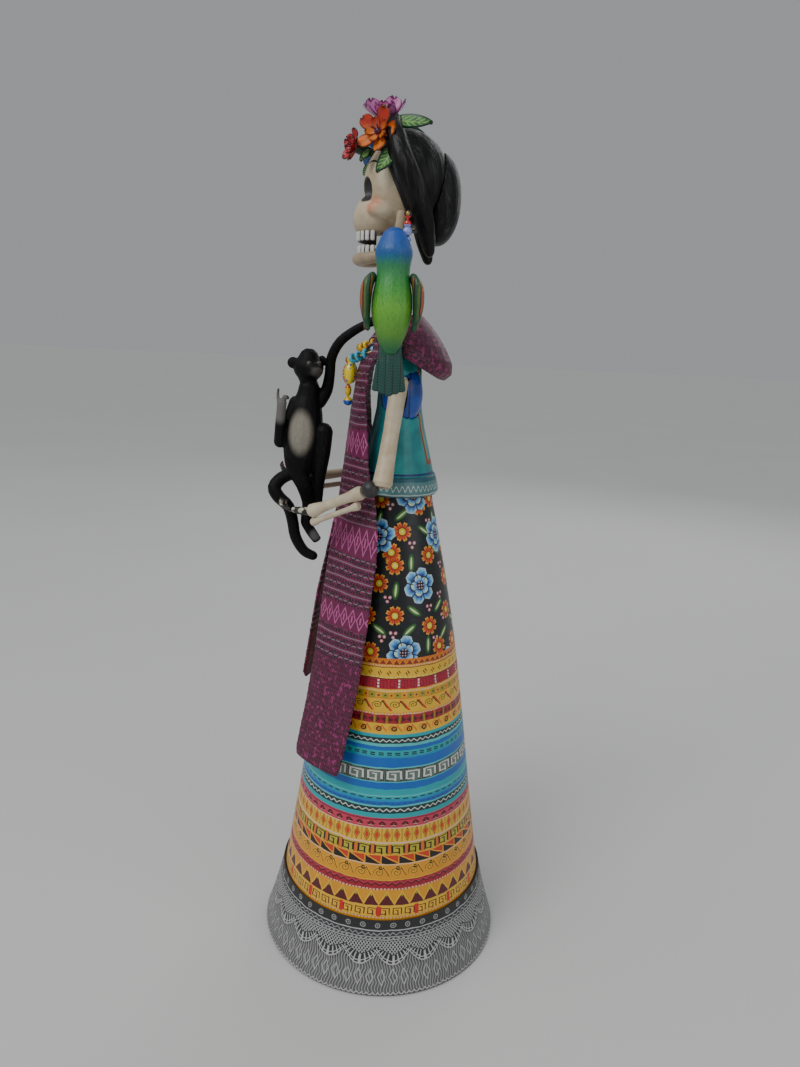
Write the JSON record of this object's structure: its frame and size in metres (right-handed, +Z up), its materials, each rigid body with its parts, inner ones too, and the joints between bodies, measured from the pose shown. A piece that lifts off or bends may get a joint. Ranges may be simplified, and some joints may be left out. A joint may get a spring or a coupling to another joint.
{
  "type": "papier-mache catrina figure",
  "caption": "Skeleton lady in a tall painted cone skirt, blouse and shawl, flowers in her hair, a monkey held in her hands and a parrot on her shoulder.",
  "frame": {"origin": "centre of the round base, on the table", "axes": "+Z up; the lady faces -Y and her left side is +X"},
  "size_m": [0.129, 0.1298, 0.4216],
  "materials": {
    "base_board": "raw soft wood",
    "dowel": "raw wood",
    "card_cone": "brown cardboard",
    "skirt_shell": "painted papier-mache with floral and geometric bands",
    "lace_flounce": "papier-mache painted as grey lace",
    "waist_disc": "raw wood",
    "paper_core": "rolled paper",
    "blouse_shell": "painted papier-mache",
    "blouse_hem": "painted papier-mache",
    "left_armhole": "painted papier-mache",
    "right_armhole": "painted papier-mache",
    "shoulder_wire": "plain wire",
    "left_humerus": "papier-mache painted as bone",
    "left_elbow": "papier-mache painted dark",
    "left_forearm": "papier-mache painted as bone",
    "left_hand": "papier-mache painted as hand bones",
    "right_humerus": "papier-mache painted as bone",
    "right_elbow": "papier-mache painted dark",
    "right_forearm": "papier-mache painted as bone",
    "right_hand": "papier-mache painted as hand bones",
    "neck_bones": "papier-mache painted as bone",
    "cranium": "papier-mache painted as bone",
    "mandible": "papier-mache painted as bone",
    "upper_teeth": "painted white",
    "lower_teeth": "painted white",
    "hair_cap": "painted black with strand strokes",
    "hair_bun": "painted black with strand strokes",
    "left_hair_roll": "painted black with strand strokes",
    "right_hair_roll": "painted black with strand strokes",
    "pink_flower": "painted",
    "orange_flower": "painted",
    "red_flower": "painted",
    "blue_flower": "painted",
    "flower_hearts": "painted",
    "hair_leaves": "painted green",
    "ear_hooks": "wire",
    "left_earring": "opaque glass beads on wire",
    "right_earring": "opaque glass beads on wire",
    "upper_strand": "wire",
    "lower_strand": "wire",
    "gold_bead_string": "opaque gold glass beads",
    "ring_beads": "opaque turquoise glass rings",
    "left_pendant": "opaque dotted glass",
    "middle_pendant": "opaque dotted glass",
    "right_pendant": "opaque dotted glass",
    "shawl_back": "stiffened paper painted as woven cloth",
    "shawl_left_end": "stiffened paper painted as woven cloth",
    "shawl_right_end": "stiffened paper painted as woven cloth",
    "monkey_body": "papier-mache painted black",
    "monkey_head": "papier-mache painted black",
    "monkey_ears": "painted",
    "monkey_neck_arm": "papier-mache painted black",
    "monkey_raised_arm": "papier-mache painted black",
    "monkey_left_leg": "papier-mache painted black",
    "monkey_right_leg": "papier-mache painted black",
    "monkey_tail": "papier-mache painted black",
    "parrot_body": "painted blue to green",
    "parrot_wings": "painted green feathers",
    "parrot_tail": "painted dark green feathers",
    "parrot_feet": "painted grey"
  },
  "bodies": {
    "figure": {"base_board": "base_board", "dowel": "dowel", "card_cone": "card_cone", "skirt_shell": "skirt_shell", "lace_flounce": "lace_flounce", "waist_disc": "waist_disc", "paper_core": "paper_core", "blouse_shell": "blouse_shell", "blouse_hem": "blouse_hem", "left_armhole": "left_armhole", "right_armhole": "right_armhole", "shoulder_wire": "shoulder_wire", "left_humerus": "left_humerus", "left_elbow": "left_elbow", "left_forearm": "left_forearm", "left_hand": "left_hand", "right_humerus": "right_humerus", "right_elbow": "right_elbow", "right_forearm": "right_forearm", "right_hand": "right_hand", "neck_bones": "neck_bones", "cranium": "cranium", "mandible": "mandible", "upper_teeth": "upper_teeth", "lower_teeth": "lower_teeth", "hair_cap": "hair_cap", "hair_bun": "hair_bun", "left_hair_roll": "left_hair_roll", "right_hair_roll": "right_hair_roll", "pink_flower": "pink_flower", "orange_flower": "orange_flower", "red_flower": "red_flower", "blue_flower": "blue_flower", "flower_hearts": "flower_hearts", "hair_leaves": "hair_leaves", "ear_hooks": "ear_hooks", "upper_strand": "upper_strand", "lower_strand": "lower_strand", "gold_bead_string": "gold_bead_string", "ring_beads": "ring_beads", "shawl_back": "shawl_back", "shawl_left_end": "shawl_left_end", "shawl_right_end": "shawl_right_end", "monkey_body": "monkey_body", "monkey_head": "monkey_head", "monkey_ears": "monkey_ears", "monkey_neck_arm": "monkey_neck_arm", "monkey_raised_arm": "monkey_raised_arm", "monkey_left_leg": "monkey_left_leg", "monkey_right_leg": "monkey_right_leg", "monkey_tail": "monkey_tail", "parrot_body": "parrot_body", "parrot_wings": "parrot_wings", "parrot_tail": "parrot_tail", "parrot_feet": "parrot_feet"},
    "left_earring_body": {"left_earring": "left_earring"},
    "right_earring_body": {"right_earring": "right_earring"},
    "left_pendant_body": {"left_pendant": "left_pendant"},
    "middle_pendant_body": {"middle_pendant": "middle_pendant"},
    "right_pendant_body": {"right_pendant": "right_pendant"}
  },
  "joints": [
    {"name": "left_earring_swing", "type": "hinge", "parent": "figure", "child": "left_earring_body", "pos_m": [0.023, -0.0006, 0.372], "axis": [-1, 0, 0], "range_deg": [-3, 30]},
    {"name": "right_earring_swing", "type": "hinge", "parent": "figure", "child": "right_earring_body", "pos_m": [-0.023, -0.0006, 0.372], "axis": [-1, 0, 0], "range_deg": [-3, 30]},
    {"name": "left_pendant_swing", "type": "hinge", "parent": "figure", "child": "left_pendant_body", "pos_m": [0.00674, -0.02533, 0.30848], "axis": [-1, 0, 0], "range_deg": [0, 35]},
    {"name": "middle_pendant_swing", "type": "hinge", "parent": "figure", "child": "middle_pendant_body", "pos_m": [0, -0.02652, 0.30803], "axis": [-1, 0, 0], "range_deg": [0, 16]},
    {"name": "right_pendant_swing", "type": "hinge", "parent": "figure", "child": "right_pendant_body", "pos_m": [-0.00674, -0.02533, 0.30848], "axis": [-1, 0, 0], "range_deg": [0, 35]}
  ]
}
